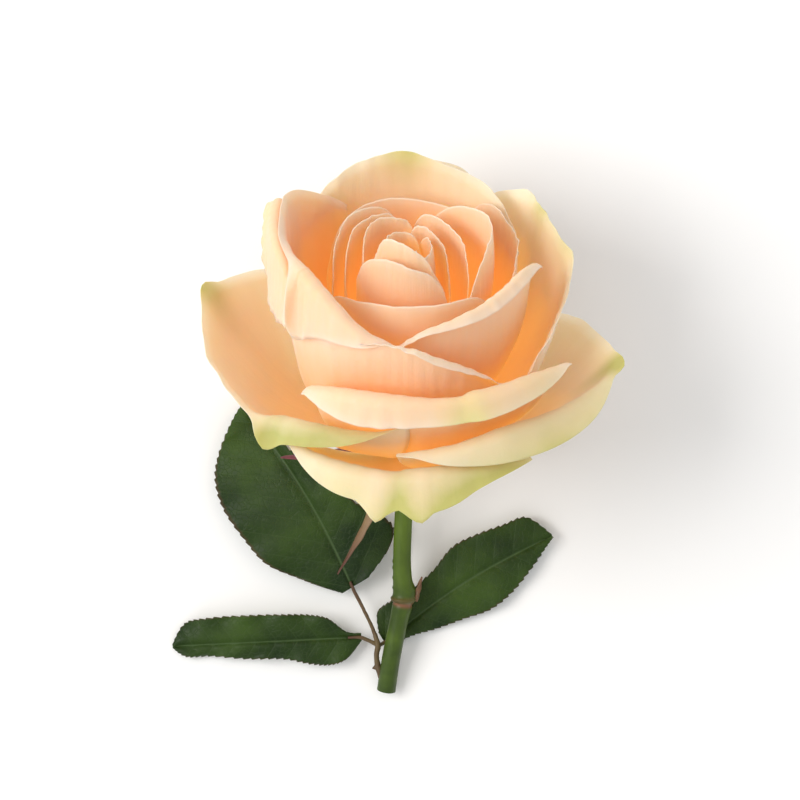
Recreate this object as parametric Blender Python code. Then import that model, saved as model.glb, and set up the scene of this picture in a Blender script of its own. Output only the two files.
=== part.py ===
"""A cut garden rose, laid on its back on a table: bloom, sepals, stem and one leaf of three leaflets."""

import math

import bmesh
import bpy
import numpy as np
from mathutils import Vector
from mathutils.bvhtree import BVHTree

MM = 0.001

# Driving dimensions, in millimetres and degrees. X runs across the bloom, Y from
# the cut end of the stem to the bloom, and Z up from the table.
BLOOM_LEAN = 48.0           # angle between the bloom's axis and straight up, towards +Y
BLOOM_BASE = (3.3, -1.0)    # where the bloom's axis meets the receptacle, in X and Y
BLOOM_HEIGHT = 26.5         # height of that point above the table
PETAL_THICKNESS = 0.55
PETAL_GAP = 0.55            # clear space kept between one petal and the next
CLAW_INNER = (2.5, 10.4)    # radius and height at which the innermost petal is attached
CLAW_OUTER = (8.6, 0.8)     # the same for the outermost petal
CLAW_WIDTH = 0.34           # share of a petal's width that is left at its claw
FULL_WIDTH_AT = 0.5         # share of a petal's length where it reaches its full width
CORNER_CUT = 0.20           # how far the two upper corners of a petal are rounded off
LEAST_ARC = 3.0             # shortest length of a turned margin's curve
LEAST_TURN = 8.0            # and its smallest turn, in degrees
LEAST_HANG = 0.6            # and the shortest straight run beyond it

# A petal's side view is a curve past a belly and a shoulder. Each is a share of the
# petal's reach and rise for an upright cup, then how much that share drops for a dish.
BELLY_REACH = (0.80, 0.35)
BELLY_RISE = 0.10
SHOULDER_REACH = (0.985, 0.20)
SHOULDER_RISE = (0.56, 0.16)
BULGE = 3.2                 # how far the shoulder of the innermost petal stands out
BULGE_REACH = 36.0          # reach from which petals have no such bulge

PETAL_GRID = (8, 5)         # cells across and up the body of a small petal
BIG_PETAL_GRID = (12, 6)
ARC_STEP = 50.0             # degrees of a turned margin to a row of cells
LONG_HANG = 4.0             # a hang beyond this has two rows of cells
SETTLE_ROUNDS = 44          # how often a petal may be pushed clear of the inner ones
SOFT_ROUNDS = 16            # the first of these rounds spread each push to its neighbours
DEEPEST = 14.0              # how deep inside another petal a point is still found

HIP_SIDES = 20
LEAF_THICKNESS = 0.6
LEAF_GRID = (6, 12)
SEPAL_THICKNESS = 0.7
SEPAL_GRID = (4, 7)

PETAL_COLOUR = (0.93, 0.62, 0.38, 1.0)
OUTER_COLOUR = (0.92, 0.80, 0.60, 1.0)
STEM_COLOUR = (0.16, 0.24, 0.05, 1.0)
LEAF_COLOUR = (0.03, 0.08, 0.02, 1.0)
SEPAL_COLOUR = (0.20, 0.07, 0.06, 1.0)

# The petals from the innermost outwards. Azimuths turn from the right side (0)
# over the side that faces up (90) to the left (180) and the underside (270).
# "crest" lists azimuth, radius and height along a petal's rim. Where the margin is
# turned over, "curl" is the radius of the turn, and the crest's last two numbers are
# how far the margin hangs on beyond it and how many degrees it turns. "flare" runs
# from an upright cup (0) to a spreading dish (1), "corner" is the petal's own corner
# cut, and "fan_out" is the share of its length where it reaches its full width.
PETALS = [
    dict(number=1, crest=[(-60, 1.8, 58), (60, 2.4, 60), (180, 2.9, 60), (270, 3.4, 58)]),
    dict(number=2, crest=[(110, 5.0, 60), (190, 5.2, 62), (260, 5.4, 60), (310, 5.8, 58)]),
    dict(number=3, crest=[(-80, 6.6, 58), (-20, 6.0, 60), (50, 5.6, 60), (110, 5.6, 59)]),
    dict(
        number=4, corner=0.04,
        crest=[
            (44, 12.4, 55), (54, 11.0, 59), (66, 9.5, 64), (95, 8.4, 68), (132, 8.2, 68),
            (150, 8.6, 63), (168, 9.0, 58),
        ],
    ),
    dict(number=5, crest=[(265, 8.6, 59), (300, 8.6, 60), (350, 9.0, 58), (392, 11.6, 55)]),
    dict(number=6, crest=[(160, 10.6, 60), (200, 10.8, 63), (250, 10.8, 61), (285, 11.0, 58)]),
    dict(number=7, crest=[(42, 13.4, 57), (80, 12.4, 63), (120, 12.0, 65), (168, 12.8, 59)]),
    dict(number=8, crest=[(270, 13.6, 58), (300, 13.6, 60), (345, 14.0, 58), (388, 15.8, 55)]),
    dict(number=9, crest=[(158, 16.0, 57), (190, 14.8, 61), (230, 14.0, 61), (272, 14.4, 58)]),
    dict(
        number=10,
        crest=[
            (278, 17.6, 58), (320, 20.0, 62), (350, 21.4, 64), (375, 19.0, 60), (400, 17.6, 54),
        ],
    ),
    dict(number=11, crest=[(162, 19.4, 51), (188, 18.0, 60), (228, 17.6, 61), (268, 18.4, 57)]),
    dict(
        number=12,
        crest=[
            (16, 22.4, 50), (45, 21.0, 56), (92, 20.0, 58), (140, 20.4, 55), (168, 21.0, 49),
        ],
    ),
    dict(number=13, crest=[(205, 22.6, 54), (250, 22.4, 57), (300, 23.0, 55), (335, 24.0, 52)]),
    dict(number=14, crest=[(300, 27.0, 57), (330, 28.0, 58), (352, 27.6, 54), (378, 24.6, 48)]),
    dict(
        number=15, curl=1.4, corner=0.06,
        crest=[
            (0, 30.5, 57, 1, 130), (22, 27.6, 58, 2, 130), (48, 26.2, 57, 2, 130),
            (75, 26.4, 56, 1, 120), (95, 27.2, 53, 0, 100),
        ],
    ),
    dict(
        number=17, curl=1.7, corner=0.05,
        crest=[
            (95, 30.2, 55, 0, 60), (109, 30.0, 57, 2, 150), (126, 29.5, 62, 9, 170),
            (137, 29.4, 65, 15, 172), (145, 29.4, 66, 18, 172), (150, 29.6, 66, 2, 130),
            (172, 30.2, 65, 1, 50), (190, 30.6, 66, 0, 30), (202, 30.6, 65, 0, 20),
            (222, 29.0, 58, 0, 12), (236, 27.0, 54, 0, 12),
        ],
    ),
    dict(
        number=19, curl=1.4, corner=0.05,
        crest=[
            (150, 31.0, 63, 11, 172), (160, 31.2, 65, 19, 178), (174, 31.4, 66, 19, 178),
            (185, 31.6, 66, 16, 175), (196, 32.0, 66, 8, 160), (206, 32.2, 63, 2, 90),
        ],
    ),
    dict(
        number=16, curl=2.5, corner=0.12,
        crest=[
            (212, 30.5, 54, 0, 15), (236, 30.0, 59, 0, 20), (262, 30.5, 60.5, 0, 22),
            (290, 30.5, 58, 0, 20), (312, 30.5, 55.5, 0, 20), (336, 30.0, 51, 0, 15),
        ],
    ),
    dict(
        number=18, curl=1.6, corner=0.08, flare=0.15,
        crest=[
            (42, 31.5, 33, 0, 60), (64, 33.2, 46, 1, 110), (84, 34.0, 54, 1, 110),
            (100, 33.2, 55.5, 0, 50), (124, 32.4, 49.5, 0, 15), (154, 32.4, 48, 0, 12),
        ],
    ),
    dict(
        number=20, curl=3.0, flare=0.3,
        crest=[
            (234, 38.0, 47, 1, 30), (266, 39.0, 51, 1, 30), (300, 39.0, 49, 1, 30),
        ],
    ),
    dict(
        number=21, curl=2.5, corner=0.1, flare=0.3,
        crest=[
            (300, 35.0, 51, 0, 25), (320, 36.4, 54, 0, 22), (334, 37.0, 53.5, 0, 22),
            (350, 39.8, 46.5, 0, 22), (370, 37.0, 41, 0, 25), (390, 34.6, 36, 0, 25),
        ],
    ),
    dict(
        number=22, curl=2.8, corner=0.04, flare=0.5,
        crest=[
            (24, 42.0, 37, 0, 70), (48, 40.0, 42, 3, 130), (84, 39.6, 45, 4.5, 150),
            (108, 39.0, 45, 5, 150), (130, 37.6, 41, 0, 110),
        ],
    ),
    dict(
        number=23, curl=4.0, flare=0.8,
        crest=[
            (224, 42.0, 29, 2, 60), (246, 45.0, 31, 3, 60), (269, 45.0, 31, 2, 60),
        ],
    ),
    dict(
        number=24, curl=4.0, flare=0.8,
        crest=[
            (276, 45.0, 29, 2, 60), (300, 46.0, 31, 3, 60), (324, 43.0, 29, 2, 60),
        ],
    ),
    dict(
        number=25, curl=2.5, corner=0.03, flare=1.0, fan_out=0.95,
        crest=[
            (90, 35.0, 33, 0, 20), (106, 38.0, 31.5, 1, 100), (120, 39.5, 31, 3, 125),
            (130, 40.5, 30, 4, 130), (138, 41.0, 28, 5, 130), (145, 45.5, 27.5, 1, 40),
            (153, 48.5, 31.5, 0, 20), (168, 49.5, 32.5, 0, 18), (184, 49.5, 37.5, 0, 18),
            (199, 46.0, 34, 0, 30), (214, 41.0, 31, 1, 50),
        ],
    ),
    dict(
        number=26, curl=3.0, corner=0.03, flare=1.0, fan_out=0.95,
        crest=[
            (-28, 41.0, 20, 0, 40), (-8, 45.0, 24, 0, 25), (9, 50.5, 26.5, 0, 25),
            (29, 46.0, 28, 4, 90), (54, 42.0, 31, 6, 115), (76, 40.5, 29, 2, 115),
            (94, 40.0, 27, 0, 40),
        ],
    ),
    dict(
        number=27, curl=4.0, flare=0.9,
        crest=[
            (222, 41.0, 21, 2, 70), (245, 46.0, 23, 3, 70), (267, 44.0, 21, 2, 70),
        ],
    ),
    dict(
        number=28, curl=4.0, flare=0.9,
        crest=[
            (273, 44.0, 21, 2, 70), (295, 46.0, 23, 3, 70), (320, 41.0, 21, 2, 70),
        ],
    ),
    dict(
        number=29, curl=3.0, corner=0.03, flare=1.0, fan_out=0.55,
        crest=[
            (48, 43.0, 21, 0.6, 80), (66, 42.5, 23, 2.5, 105), (82, 42.0, 23.5, 7.5, 110),
            (99, 42.0, 23, 5.5, 110), (115, 42.0, 23, 4, 105), (131, 42.0, 23.5, 0.6, 60),
            (143, 40.5, 22.5, 0, 30),
        ],
    ),
]
BIG_PETALS_FROM = 13        # petals from this place on get the finer grid
OUTER_PETALS_FROM = 23      # and from this number on the paler finish

# Sepals: base, middle and tip in X, Y and Z, and the width at the base.
SEPALS = [
    ((-3.4, -5.0, 20.0), (-14.0, -8.0, 19.0), (-29.0, -9.0, 17.0), 5.0),
    ((-1.6, -10.5, 24.0), (-6.5, -24.0, 19.0), (-14.6, -38.7, 13.0), 4.0),
    ((9.0, -8.0, 21.0), (17.0, -9.5, 22.0), (27.0, -7.0, 20.0), 5.0),
    ((0.0, 2.4, 17.0), (-6.0, 7.0, 9.0), (-13.0, 14.0, 4.5), 5.0),
    ((7.0, 2.4, 17.0), (13.0, 7.0, 9.0), (20.0, 14.0, 4.5), 5.0),
]

# The stem's centre line and its radius at each point, from the cut end up.
STEM = [
    (-2.2, -68.6, 2.5, 2.40), (-0.9, -60.0, 5.2, 2.40), (0.9, -51.0, 7.6, 2.40),
    (1.9, -46.8, 8.8, 2.65), (2.1, -45.2, 9.2, 3.00), (2.1, -43.2, 9.7, 2.60),
    (1.8, -35.3, 11.8, 2.35), (2.2, -24.0, 14.6, 2.35), (2.9, -13.5, 17.4, 2.50), (3.3, -8.0, 20.6, 2.90),
]
STALK = [
    (-5.2, -65.0, 3.2, 0.75), (-4.9, -60.5, 3.9, 0.65), (-4.4, -57.1, 4.4, 0.70),
    (-5.6, -53.0, 4.8, 0.50), (-8.2, -47.5, 5.2, 0.50), (-10.4, -43.2, 5.4, 0.50),
]
AXIL_BUD = [
    (6.2, -45.6, 9.6, 0.55), (6.5, -43.2, 10.2, 0.95), (6.9, -41.0, 10.6, 0.70), (7.3, -38.8, 11.0, 0.20),
]

# The receptacle's turned outline: radius and height along the bloom's axis.
HIP = [
    (0.0, -8.4), (2.9, -8.4), (4.4, -7.4), (5.8, -5.6), (6.5, -3.2),
    (6.8, -1.4), (6.9, -0.4), (4.4, 3.6), (1.6, 8.2), (0.0, 8.6),
]

# Leaflets: base and tip in X, Y and Z, how far the blade bows up between them,
# how much each half lifts at its edge, and the widths of the left and the right
# half, seen from the base, at shares of the length.
LEAFLETS = {
    "leaflet_tip": dict(
        base=(-10.9, -42.2, 5.4), tip=(-38.9, 4.4, 3.0), bow=4.0, lift=(-2.5, 3.0),
        halves=[
            (0.0, 3.0, 5.0), (0.07, 6.5, 13.5), (0.16, 10.5, 17.0), (0.3, 15.8, 12.8), (0.45, 17.4, 9.4),
            (0.62, 18.0, 6.0), (0.76, 16.0, 3.6), (0.86, 11.6, 2.4), (0.95, 5.2, 1.4), (1.0, 0.4, 0.4),
        ],
    ),
    "leaflet_left": dict(
        base=(-8.6, -54.9, 4.2), tip=(-56.8, -57.4, 1.2), bow=2.2, lift=(-0.8, 1.6),
        halves=[
            (0.0, 1.0, 1.0), (0.08, 5.4, 1.6), (0.17, 6.8, 5.2), (0.28, 6.2, 6.4), (0.42, 4.6, 6.8),
            (0.6, 4.2, 7.0), (0.8, 3.0, 6.8), (0.93, 2.8, 5.6), (1.0, 0.4, 0.4),
        ],
    ),
    "leaflet_right": dict(
        base=(-2.6, -56.4, 2.2), tip=(40.2, -29.2, 3.4), bow=0.8, lift=(0.6, -0.6),
        halves=[
            (0.0, 3.0, 0.8), (0.05, 7.6, 1.6), (0.14, 8.2, 2.4), (0.26, 8.0, 4.2), (0.4, 9.0, 5.8),
            (0.54, 11.4, 7.4), (0.68, 10.8, 6.6), (0.82, 9.2, 4.2), (0.94, 7.6, 1.6), (1.0, 0.4, 0.4),
        ],
    ),
}


def material(name, colour, roughness):
    """A plain Principled finish of one colour."""
    made = bpy.data.materials.new(name)
    made.use_nodes = True
    shader = made.node_tree.nodes["Principled BSDF"]
    shader.inputs["Base Color"].default_value = colour
    shader.inputs["Roughness"].default_value = roughness
    shader.inputs["Metallic"].default_value = 0.0
    return made


def spline(points, share):
    """The point at 0..1 along a smooth curve through the given points."""
    pts = np.asarray(points, float)
    last = len(pts) - 1
    place = min(max(share, 0.0), 1.0) * last
    i = min(int(place), last - 1)
    t = place - i
    a = pts[max(i - 1, 0)]
    b = pts[i]
    c = pts[i + 1]
    d = pts[min(i + 2, last)]
    bend = (2 * a - 5 * b + 4 * c - d) * t * t + (3 * b - a - 3 * c + d) * t ** 3
    return 0.5 * (2 * b + (c - a) * t + bend)


def bezier(p0, p1, p2, p3, t):
    s = 1 - t
    return s ** 3 * p0 + 3 * s * s * t * p1 + 3 * s * t * t * p2 + t ** 3 * p3


def body_curve(claw, reach, rise, flare):
    """The four Bezier points of a petal's side view, from its claw to its crest."""
    belly_reach = BELLY_REACH[0] - BELLY_REACH[1] * flare
    belly = (claw[0] + belly_reach * (reach - claw[0]), claw[1] + BELLY_RISE * (rise - claw[1]))
    bulge = BULGE * max(0.0, 1.0 - reach / BULGE_REACH)
    shoulder_reach = SHOULDER_REACH[0] - SHOULDER_REACH[1] * flare
    shoulder_rise = SHOULDER_RISE[0] - SHOULDER_RISE[1] * flare
    shoulder = (reach * shoulder_reach + bulge, claw[1] + shoulder_rise * (rise - claw[1]))
    return [np.array(p, float) for p in (claw, belly, shoulder, (reach, rise))]


def turned_over(crest, heading, radius, degrees, run):
    """The point at a distance beyond the crest: round the curl, then straight on."""
    start = math.atan2(heading[1], heading[0])
    bent = min(run / radius, math.radians(degrees))
    beyond = max(0.0, run - radius * math.radians(degrees))
    ahead = np.array([math.cos(start), math.sin(start)])
    side = np.array([math.sin(start), -math.cos(start)])
    turn = radius * ((1 - math.cos(bent)) * side + math.sin(bent) * ahead)
    return crest + turn + beyond * (math.cos(bent) * ahead + math.sin(bent) * side)


def margin_rows(spec):
    """Share of the curl and share of the hang at each row beyond the crest."""
    if "curl" not in spec:
        return []
    arc_rows = 1 + round(max(station[4] for station in spec["crest"]) / ARC_STEP)
    hang_rows = 2 if max(station[3] for station in spec["crest"]) > LONG_HANG else 1
    arc = [((k + 1) / arc_rows, 0.0) for k in range(arc_rows)]
    return arc + [(1.0, (k + 1) / hang_rows) for k in range(hang_rows)]


def petal_grid(spec, order, across, body_rows):
    """Middle surface of a petal as a grid of points in the bloom's own frame."""
    share_out = order / (len(PETALS) - 1)
    claw = [a + (b - a) * share_out for a, b in zip(CLAW_INNER, CLAW_OUTER)]
    crest = spec["crest"]
    margin = margin_rows(spec)
    middle = 0.5 * (crest[0][0] + crest[-1][0])
    grid = np.zeros((body_rows + 1 + len(margin), across + 1, 3))
    for i in range(across + 1):
        station = spline(crest, i / across)
        curve = body_curve(claw, station[1], station[2], spec.get("flare", 0.0))
        corner = max(0.0, abs(2 * i / across - 1) - 0.5) / 0.5
        top = 1 - spec.get("corner", CORNER_CUT) * corner ** 2.5
        for j in range(grid.shape[0]):
            v = min(j / body_rows, 1.0) * top
            place = bezier(*curve, v)
            if j > body_rows:
                turned, hung = margin[j - body_rows - 1]
                heading = place - bezier(*curve, v - 0.01)
                degrees = max(station[4], LEAST_TURN)
                radius = max(spec["curl"], LEAST_ARC / math.radians(degrees))
                run = turned * radius * math.radians(degrees) + hung * max(station[3], LEAST_HANG)
                place = turned_over(place, heading, radius, degrees, run)
            opened = min(1.0, v / spec.get("fan_out", FULL_WIDTH_AT))
            spread = CLAW_WIDTH + (1 - CLAW_WIDTH) * math.sin(opened * math.pi / 2)
            around = math.radians(middle + (station[0] - middle) * spread)
            grid[j, i] = (place[0] * math.cos(around), -place[0] * math.sin(around), place[1])
    return grid


def grid_normals(grid):
    """Unit normals of a grid, pointing away from the bloom's axis."""
    down = np.gradient(grid, axis=0)
    side = np.gradient(grid, axis=1)
    normal = np.cross(down, side)
    size = np.linalg.norm(normal, axis=2, keepdims=True)
    normal = normal / np.maximum(size, 1e-9)
    return normal


def grid_faces(rows, columns, start=0):
    faces = []
    for j in range(rows - 1):
        for i in range(columns - 1):
            a = start + j * columns + i
            faces.append((a, a + columns, a + columns + 1, a + 1))
    return faces


def refine(grid):
    """The grid with a point added between each two neighbours."""
    rows, columns, _ = grid.shape
    fine = np.zeros((2 * rows - 1, 2 * columns - 1, 3))
    fine[::2, ::2] = grid
    fine[1::2, ::2] = (grid[1:] + grid[:-1]) / 2
    fine[:, 1::2] = (fine[:, 2::2] + fine[:, :-2:2]) / 2
    return fine


def settle(grid, placed, clearance):
    """Push a petal outwards wherever it would meet the petals inside it."""
    if placed is None:
        return grid
    rows, columns, _ = grid.shape
    for step in range(SETTLE_ROUNDS):
        fine = refine(grid)
        facing = grid_normals(fine)
        shift = np.zeros_like(fine)
        for j in range(fine.shape[0]):
            for i in range(fine.shape[1]):
                target = clear_place(Vector(fine[j, i]), Vector(facing[j, i]), placed, clearance)
                if target is not None:
                    shift[j, i] = target - Vector(fine[j, i])
        if not shift.any():
            break
        push = np.zeros_like(grid)
        for j in range(rows):
            for i in range(columns):
                block = shift[max(2 * j - 1, 0):2 * j + 2, max(2 * i - 1, 0):2 * i + 2].reshape(-1, 3)
                push[j, i] = block[np.argmax(np.linalg.norm(block, axis=1))]
        if step < SOFT_ROUNDS:
            soft = spread_out(push)
            push = np.maximum(np.abs(push), 0.8 * np.abs(soft)) * np.sign(push + soft)
        grid = grid + push
    return grid


def spread_out(field):
    """Each grid value averaged with its neighbours."""
    padded = np.pad(field, ((1, 1), (1, 1), (0, 0)), mode="edge")
    total = 4 * padded[1:-1, 1:-1] + 2 * padded[:-2, 1:-1] + 2 * padded[2:, 1:-1]
    total += 2 * padded[1:-1, :-2] + 2 * padded[1:-1, 2:]
    total += padded[:-2, :-2] + padded[:-2, 2:] + padded[2:, :-2] + padded[2:, 2:]
    return total / 16


def clear_place(point, outwards, placed, clearance):
    """Where a point has to move to stand clear of the placed petals, or None."""
    hit, normal, _, _ = placed.ray_cast(point, outwards, DEEPEST)
    if hit is not None and normal.dot(outwards) > 0.25:
        return hit + normal * clearance
    near, normal, _, distance = placed.find_nearest(point, clearance * 0.98)
    if near is None:
        return None
    if distance > 1e-4:
        return near + (point - near) * (clearance / distance)
    return near + normal * clearance


def shell(name, grid, thickness, finish, parent=None):
    """A closed thin solid around a grid."""
    rows, columns, _ = grid.shape
    normal = grid_normals(grid) * thickness / 2
    points = np.concatenate([(grid + normal).reshape(-1, 3), (grid - normal).reshape(-1, 3)]) * MM
    count = rows * columns
    outer = grid_faces(rows, columns)
    inner = [tuple(reversed(f)) for f in grid_faces(rows, columns, count)]
    rim = [i for i in range(columns - 1)]
    rim += [j * columns + columns - 1 for j in range(rows - 1)]
    rim += [(rows - 1) * columns + i for i in range(columns - 1, 0, -1)]
    rim += [j * columns for j in range(rows - 1, 0, -1)]
    walls = [(a, b, b + count, a + count) for a, b in zip(rim, rim[1:] + rim[:1])]
    return solid(name, points, outer + inner + walls, finish, parent)


def solid(name, points, faces, finish, parent=None):
    mesh = bpy.data.meshes.new(name)
    mesh.from_pydata([tuple(p) for p in points], [], faces)
    shape = bmesh.new()
    shape.from_mesh(mesh)
    bmesh.ops.triangulate(shape, faces=shape.faces)
    bmesh.ops.recalc_face_normals(shape, faces=shape.faces)
    shape.to_mesh(mesh)
    shape.free()
    mesh.shade_smooth()
    made = bpy.data.objects.new(name, mesh)
    made.data.materials.append(finish)
    made.parent = parent
    bpy.context.scene.collection.objects.link(made)
    return made


def make_petals(bloom, finishes):
    points = []
    faces = []
    placed = None
    for order, spec in enumerate(PETALS):
        cells = BIG_PETAL_GRID if order >= BIG_PETALS_FROM else PETAL_GRID
        grid = petal_grid(spec, order, *cells)
        grid = settle(grid, placed, PETAL_GAP + PETAL_THICKNESS)
        finish = finishes[spec["number"] >= OUTER_PETALS_FROM]
        shell(f"petal_{spec['number']:02d}", grid, PETAL_THICKNESS, finish, bloom)
        faces += grid_faces(grid.shape[0], grid.shape[1], len(points))
        points += [tuple(p) for p in grid.reshape(-1, 3)]
        placed = BVHTree.FromPolygons(points, faces)


def make_hip(bloom, finish):
    """The receptacle that the petals stand on, turned about the bloom's axis."""
    sides = HIP_SIDES
    points = [(0.0, 0.0, HIP[0][1] * MM), (0.0, 0.0, HIP[-1][1] * MM)]
    rings = HIP[1:-1]
    for radius, height in rings:
        for k in range(sides):
            turn = 2 * math.pi * k / sides
            points.append((radius * MM * math.cos(turn), radius * MM * math.sin(turn), height * MM))
    faces = []
    for k in range(sides):
        after = (k + 1) % sides
        faces.append((0, 2 + after, 2 + k))
        for ring in range(len(rings) - 1):
            low = 2 + ring * sides
            faces.append((low + k, low + after, low + sides + after, low + sides + k))
        top = 2 + (len(rings) - 1) * sides
        faces.append((1, top + k, top + after))
    return solid("hip", points, faces, finish, bloom)


def tube(name, stations, sides, steps, finish):
    """A closed tube whose centre and radius follow a smooth curve through the stations."""
    path = [spline(stations, k / steps) for k in range(steps + 1)]
    points = []
    for k, place in enumerate(path):
        after = path[min(k + 1, steps)][:3]
        before = path[max(k - 1, 0)][:3]
        ahead = Vector(after - before).normalized()
        side = ahead.cross(Vector((0, 0, 1))).normalized()
        up = side.cross(ahead)
        for n in range(sides):
            turn = 2 * math.pi * n / sides
            around = side * math.cos(turn) + up * math.sin(turn)
            points.append((Vector(place[:3]) + around * place[3]) * MM)
    faces = []
    for k in range(steps):
        for n in range(sides):
            a = k * sides + n
            b = k * sides + (n + 1) % sides
            faces.append((a, b, b + sides, a + sides))
    faces.append(tuple(reversed(range(sides))))
    faces.append(tuple(steps * sides + n for n in range(sides)))
    return solid(name, points, faces, finish)


def make_sepals(finish):
    for number, (base, middle, tip, width) in enumerate(SEPALS, 1):
        columns, rows = SEPAL_GRID
        grid = np.zeros((rows + 1, columns + 1, 3))
        for j in range(rows + 1):
            t = j / rows
            place = spline([base, middle, tip], t)
            ahead = Vector(spline([base, middle, tip], t + 0.02) - spline([base, middle, tip], t - 0.02))
            side = ahead.cross(Vector((0, 0.2, 1))).normalized()
            half = 0.5 * width * (1 - t) ** 0.7 + 0.25
            for i in range(columns + 1):
                across = 2 * i / columns - 1
                cup = Vector((0, 0, -0.5 * across * across * half / 2.5))
                grid[j, i] = Vector(place) + side * across * half + cup
        shell(f"sepal_{number}", grid, SEPAL_THICKNESS, finish)


def make_leaflet(name, spec, finish):
    base = np.array(spec["base"])
    tip = np.array(spec["tip"])
    ahead = Vector(tip - base).normalized()
    right = ahead.cross(Vector((0, 0, 1))).normalized()
    columns, rows = LEAF_GRID
    grid = np.zeros((rows + 1, columns + 1, 3))
    for j in range(rows + 1):
        share, left_half, right_half = spline(spec["halves"], j / rows)
        centre = base + (tip - base) * share
        centre = centre + np.array([0, 0, spec["bow"] * math.sin(math.pi * share)])
        for i in range(columns + 1):
            across = 2 * i / columns - 1
            half = left_half if across < 0 else right_half
            lift = spec["lift"][0] if across < 0 else spec["lift"][1]
            raised = lift * abs(across) * math.sin(math.pi * min(1, share + 0.1)) ** 0.5
            grid[j, i] = Vector(centre) + right * across * half + Vector((0, 0, raised))
    return shell(name, grid, LEAF_THICKNESS, finish)


def main():
    for old in list(bpy.data.objects):
        bpy.data.objects.remove(old)
    bloom = bpy.data.objects.new("bloom_frame", None)
    bpy.context.scene.collection.objects.link(bloom)
    bloom.location = Vector((BLOOM_BASE[0], BLOOM_BASE[1], BLOOM_HEIGHT)) * MM
    bloom.rotation_euler = (-math.radians(BLOOM_LEAN), 0, 0)
    make_petals(bloom, [material("petal", PETAL_COLOUR, 0.5), material("petal_outer", OUTER_COLOUR, 0.5)])
    stem_green = material("stem", STEM_COLOUR, 0.45)
    make_hip(bloom, stem_green)
    make_sepals(material("sepal", SEPAL_COLOUR, 0.6))
    tube("stem", STEM, 12, 20, stem_green)
    leaf_green = material("leaf", LEAF_COLOUR, 0.4)
    tube("leaf_stalk", STALK, 8, 12, leaf_green)
    tube("axil_bud", AXIL_BUD, 8, 4, stem_green)
    for name, spec in LEAFLETS.items():
        make_leaflet(name, spec, leaf_green)


main()
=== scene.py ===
import math

import bpy
import numpy as np
from mathutils import Matrix, Vector, noise
from mathutils.bvhtree import BVHTree


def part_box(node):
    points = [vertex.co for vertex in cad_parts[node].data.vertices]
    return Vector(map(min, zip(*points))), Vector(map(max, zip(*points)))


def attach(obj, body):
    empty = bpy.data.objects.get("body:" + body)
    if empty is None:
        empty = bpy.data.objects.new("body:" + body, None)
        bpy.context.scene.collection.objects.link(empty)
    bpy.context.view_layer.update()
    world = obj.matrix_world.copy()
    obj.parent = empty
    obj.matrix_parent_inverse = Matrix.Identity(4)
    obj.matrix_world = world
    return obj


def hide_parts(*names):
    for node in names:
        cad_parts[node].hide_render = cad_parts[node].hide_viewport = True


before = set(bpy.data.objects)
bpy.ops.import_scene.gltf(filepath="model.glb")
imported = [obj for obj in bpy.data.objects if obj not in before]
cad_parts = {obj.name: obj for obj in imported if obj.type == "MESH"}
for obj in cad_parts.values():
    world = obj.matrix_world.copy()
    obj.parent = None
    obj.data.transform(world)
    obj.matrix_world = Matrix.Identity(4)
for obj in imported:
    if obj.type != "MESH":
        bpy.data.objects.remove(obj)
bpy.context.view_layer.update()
mm = 0.001

# The bloom stands on the hip. Its base point is found from the hip's box, and its
# axis leans from straight up towards the far end of the part.
bloomLean = 48.0
hipLow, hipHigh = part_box("hip")
bloomBase = Vector((
    (hipLow.x + hipHigh.x) / 2,
    hipLow.y + 0.538 * (hipHigh.y - hipLow.y),
    hipLow.z + 0.549 * (hipHigh.z - hipLow.z),
))
bloomPlace = Matrix.Translation(bloomBase) @ Matrix.Rotation(-math.radians(bloomLean), 4, "X")

# What all petals share, in millimetres: where their claws stand on the hip, how much of
# the width a claw keeps, the clear space between petals and their thickness. The grids
# hold columns and rows; marginRows are those of a curl, of a short and of a long hang.
bloom = dict(
    clawInner=(2.5, 10.4), clawOuter=(8.6, 0.8), clawWidth=0.34, cornerCut=0.20,
    gap=0.75, baseThick=0.5, rimThick=0.16, thinReach=12.0, firstBig=13,
    outerFrom=23, alsoPale=(16, 20, 21),
    uneven=0.55, ruffle=0.35, veinDepth=0.08, tintReach=10.0,
    leastArc=3.0, leastTurn=8, leastHang=0.6, longHang=4,
    smallGrid=(24, 14), bigGrid=(32, 16), marginRows=(7, 2, 6), rowGrade=1.5,
)

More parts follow.
